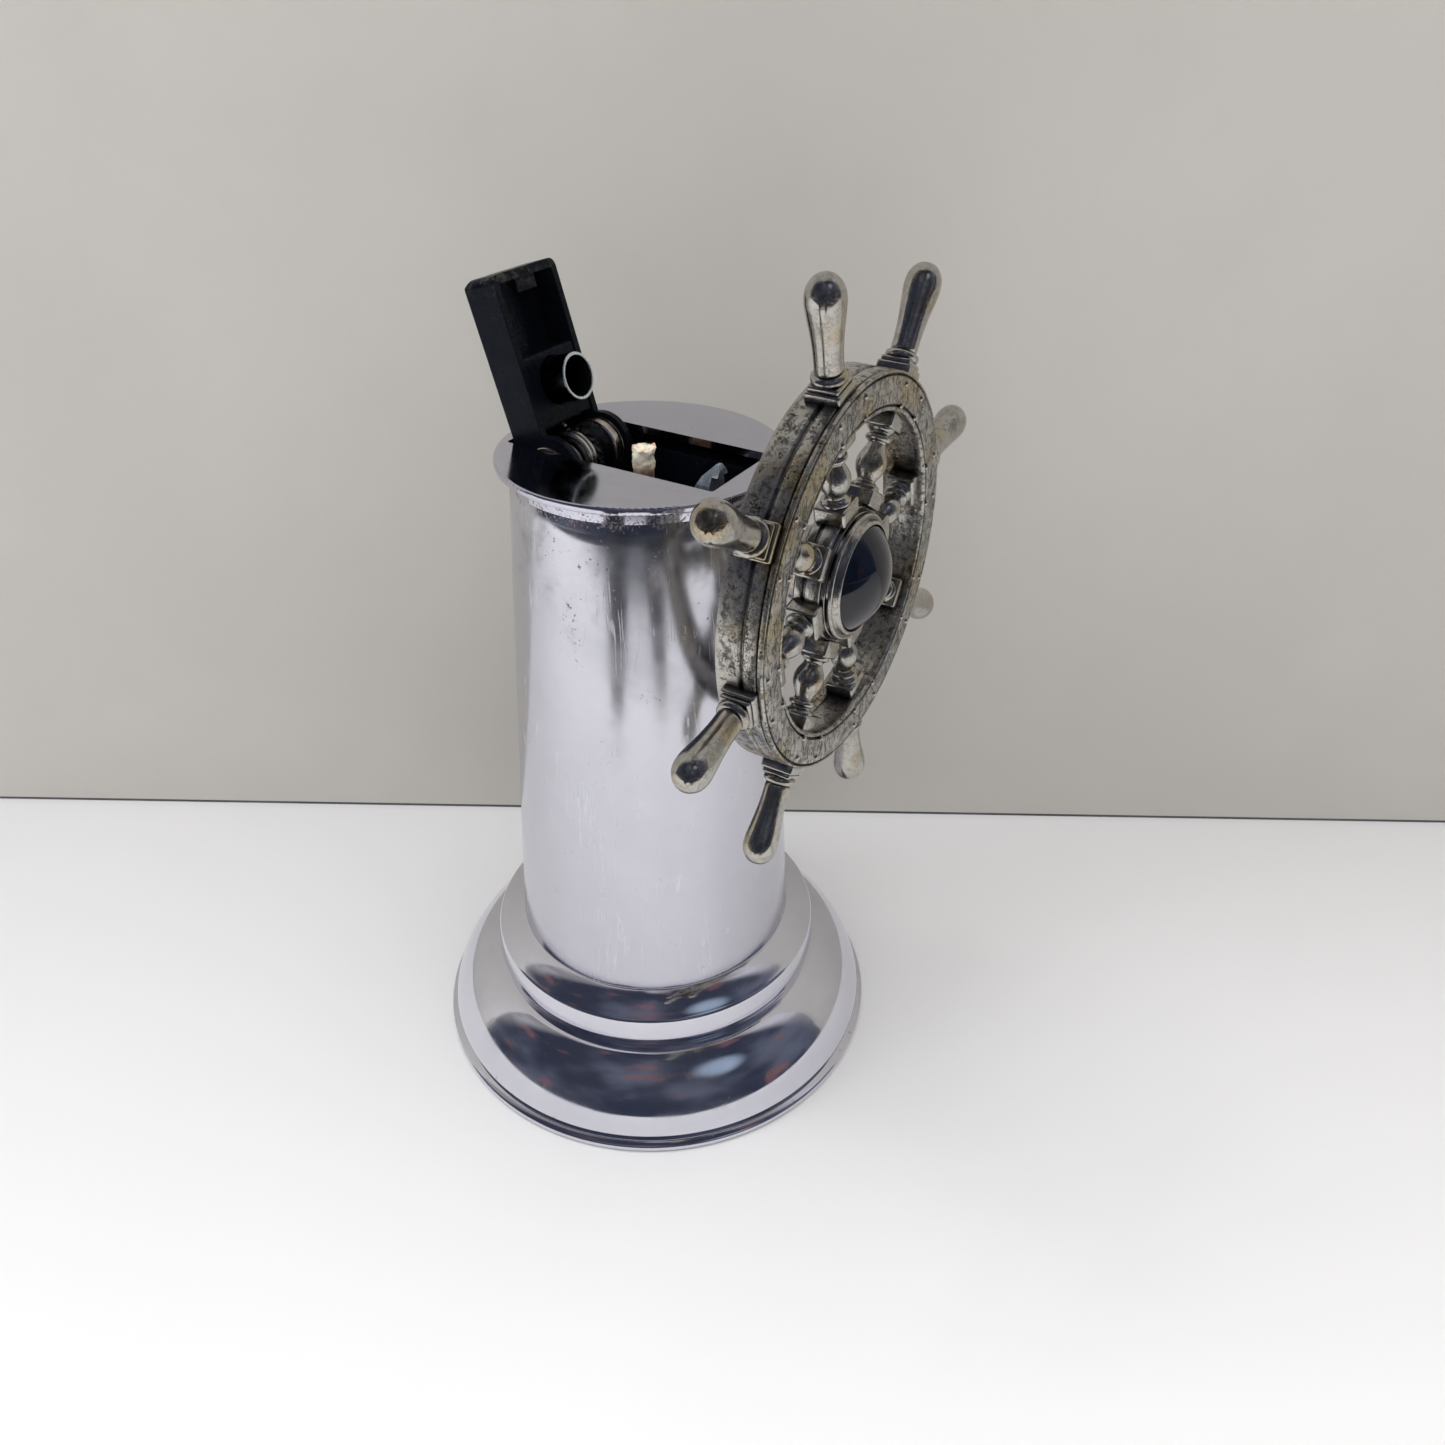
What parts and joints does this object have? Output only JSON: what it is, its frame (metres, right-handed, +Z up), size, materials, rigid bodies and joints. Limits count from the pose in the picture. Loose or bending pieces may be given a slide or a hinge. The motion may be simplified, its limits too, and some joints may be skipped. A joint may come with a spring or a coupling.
{
  "type": "table lighter",
  "caption": "Table lighter: a chromed column with a ship's wheel whose turn frees a sprung lid, so that a file wheel strikes the flint beside a fuelled wick.",
  "frame": {"origin": "centre of the base's underside, on the column's axis", "axes": "+Z up along the column; the ship's wheel faces -Y and its shaft runs along Y; the lid's hinge pin runs along X; as in the picture the lid stands open"},
  "size_m": [0.0792, 0.076, 0.1327],
  "materials": {
    "base_chrome": "polished chrome plate",
    "column_chrome": "chrome plate, hazy with fine scratches",
    "plate_chrome": "satin chrome plate",
    "felt": "wool felt",
    "ballast_iron": "as cast",
    "screw_steel": "zinc plated",
    "black_moulding": "black moulding, slightly dusty",
    "tank_tin": "tinned sheet",
    "cotton": "cotton, singed at its end",
    "tube_brass": "drawn brass",
    "bush_chrome": "turned and plated",
    "flint": "ferrocerium, matt",
    "spring_steel": "oiled spring wire",
    "bright_steel": "bright turned steel, browned",
    "file_steel": "hardened and knurled",
    "snuffer_steel": "thin drawn steel",
    "antique_nickel": "antique nickel plate with dark patina",
    "dark_jewel": "polished navy-black cabochon",
    "latch_grey": "frosted grey moulding"
  },
  "bodies": {
    "stand": {"base": "base_chrome", "base_pad": "felt", "base_weight": "ballast_iron", "base_screws": "screw_steel", "column": "column_chrome", "top_plate": "plate_chrome", "mechanism_frame": "black_moulding", "frame_screws": "screw_steel", "fuel_tank": "tank_tin", "tank_cotton": "cotton", "wick": "cotton", "wick_tube": "tube_brass", "flint_tube": "tube_brass", "flint": "flint", "flint_spring": "spring_steel", "flint_screw": "screw_steel", "filler_screw": "screw_steel", "hinge_pin": "bright_steel", "axle_washers": "bright_steel", "left_spacer": "bright_steel", "right_spacer": "bright_steel", "lid_spring": "spring_steel", "shaft_bush": "bush_chrome", "bush_nut": "tube_brass", "wheel_spring": "spring_steel", "latch_pin": "bright_steel", "latch_spring": "spring_steel"},
    "lid": {"lid_shell": "black_moulding", "lid_block": "black_moulding", "snuffer_cup": "snuffer_steel", "drive_pawl": "spring_steel"},
    "spark_wheel": {"spark_wheel": "file_steel", "ratchet_wheel": "file_steel"},
    "ship_wheel": {"wheel_rim": "antique_nickel", "wheel_hub": "antique_nickel", "hub_bezel": "antique_nickel", "hub_jewel": "dark_jewel", "wheel_rivets": "antique_nickel", "wheel_shaft": "bright_steel", "shaft_cam": "bright_steel", "cam_screw": "screw_steel", "spoke_1": "antique_nickel", "spoke_2": "antique_nickel", "spoke_3": "antique_nickel", "spoke_4": "antique_nickel", "spoke_5": "antique_nickel", "spoke_6": "antique_nickel", "spoke_7": "antique_nickel", "spoke_8": "antique_nickel", "handle_1": "antique_nickel", "handle_2": "antique_nickel", "handle_3": "antique_nickel", "handle_4": "antique_nickel", "handle_5": "antique_nickel", "handle_6": "antique_nickel", "handle_7": "antique_nickel", "handle_8": "antique_nickel"},
    "latch": {"latch_lever": "latch_grey"}
  },
  "joints": [
    {"name": "lid_swing", "type": "hinge", "parent": "stand", "child": "lid", "pos_m": [0, 0.0105, 0.1008], "axis": [-1, 0, 0], "range_deg": [-107, 0], "stiffness_Nm_per_rad": 0.01, "springref_deg": 17.19},
    {"name": "spark_spin", "type": "hinge", "parent": "stand", "child": "spark_wheel", "pos_m": [0, 0.0105, 0.1008], "axis": [-1, 0, 0], "range_deg": [-107, 0]},
    {"name": "ship_wheel_turn", "type": "hinge", "parent": "stand", "child": "ship_wheel", "pos_m": [0, -0.0205, 0.0931], "axis": [0, 1, 0], "range_deg": [0, 30], "stiffness_Nm_per_rad": 0.05, "springref_deg": -5.73},
    {"name": "latch_tilt", "type": "hinge", "parent": "stand", "child": "latch", "pos_m": [0, -0.009, 0.0976], "axis": [-1, 0, 0], "range_deg": [0, 13.5]}
  ],
  "couplings": [
    {"joint": "spark_spin", "follows": "lid_swing", "ratio": 1},
    {"joint": "latch_tilt", "follows": "ship_wheel_turn", "ratio": 0.45}
  ]
}
